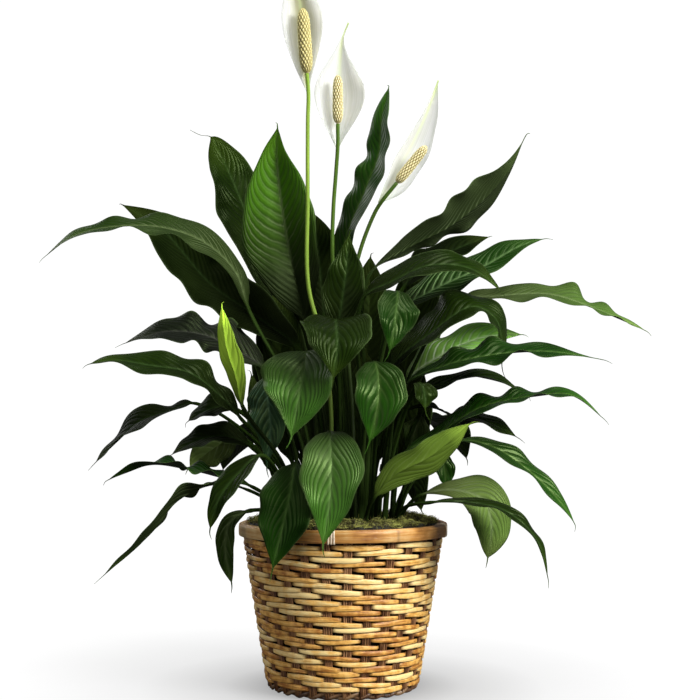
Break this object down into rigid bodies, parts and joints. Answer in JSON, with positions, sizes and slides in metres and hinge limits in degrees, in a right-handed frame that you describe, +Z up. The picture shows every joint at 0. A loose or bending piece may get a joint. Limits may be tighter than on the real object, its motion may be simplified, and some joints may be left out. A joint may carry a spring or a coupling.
{
  "type": "potted peace lily",
  "caption": "Peace lily with arching glossy leaves and white hooded blooms, growing in a tapered round wicker basket with a plastic liner, soil and moss.",
  "frame": {"origin": "middle of the basket's underside, on the surface it stands on", "axes": "+Z up along the basket's axis, -Y towards the front, +X to the right seen from the front"},
  "size_m": [0.6569, 0.373, 0.7843],
  "materials": {
    "cane": "satin",
    "rim_band": "satin",
    "foot_rope": "matte",
    "liner": "satin",
    "soil": "matte",
    "moss": "matte",
    "leaf": "satin",
    "young_leaf": "satin",
    "flower_stalk": "satin",
    "spathe": "satin",
    "spadix": "matte"
  },
  "bodies": {
    "root": {"basket_weave": "cane", "basket_rim": "rim_band", "basket_foot": "foot_rope", "liner": "liner", "soil": "soil", "moss": "moss", "leaf_back_left_tall": "leaf", "leaf_tall_bright": "leaf", "leaf_left_high_arch": "leaf", "leaf_left_back_dark": "leaf", "leaf_left_grey_wing": "leaf", "leaf_young_lime": "young_leaf", "leaf_left_mid_long": "leaf", "leaf_left_dark_wavy": "leaf", "leaf_left_small_dark": "leaf", "leaf_left_low_long": "leaf", "leaf_left_low_arch": "leaf", "leaf_left_small_droop": "leaf", "leaf_rim_left_small": "leaf", "leaf_front_left_hang": "leaf", "leaf_front_centre_hang": "leaf", "leaf_centre_left_glossy": "leaf", "leaf_centre_left_dark": "leaf", "leaf_centre_top_arch": "leaf", "leaf_centre_right_heart": "leaf", "leaf_centre_top_upright": "leaf", "leaf_right_tall_narrow": "leaf", "leaf_back_centre_dark": "leaf", "leaf_right_high_wing": "leaf", "leaf_right_back_dark": "leaf", "leaf_right_striped": "leaf", "leaf_right_long_arc": "leaf", "leaf_right_olive_long": "leaf", "leaf_right_centre_hook": "leaf", "leaf_centre_right_drop": "leaf", "leaf_right_mid_long": "leaf", "leaf_right_bright_striped": "leaf", "leaf_right_thin_tail": "leaf", "leaf_right_small_drop": "leaf", "leaf_right_low_long": "leaf", "leaf_right_low_short": "leaf", "leaf_right_low_arch": "leaf", "leaf_right_front_olive": "leaf", "leaf_rim_right_droop": "leaf", "leaf_rim_right_thin": "leaf", "shoot_left": "leaf", "shoot_right": "leaf", "shoot_back_left": "leaf", "shoot_back": "leaf", "shoot_back_right": "leaf", "shoot_back_rim": "leaf", "stalk_left": "flower_stalk", "spathe_left": "spathe", "spadix_left": "spadix", "stalk_middle": "flower_stalk", "spathe_middle": "spathe", "spadix_middle": "spadix", "stalk_right": "flower_stalk", "spathe_right": "spathe", "spadix_right": "spadix"}
  },
  "joints": []
}
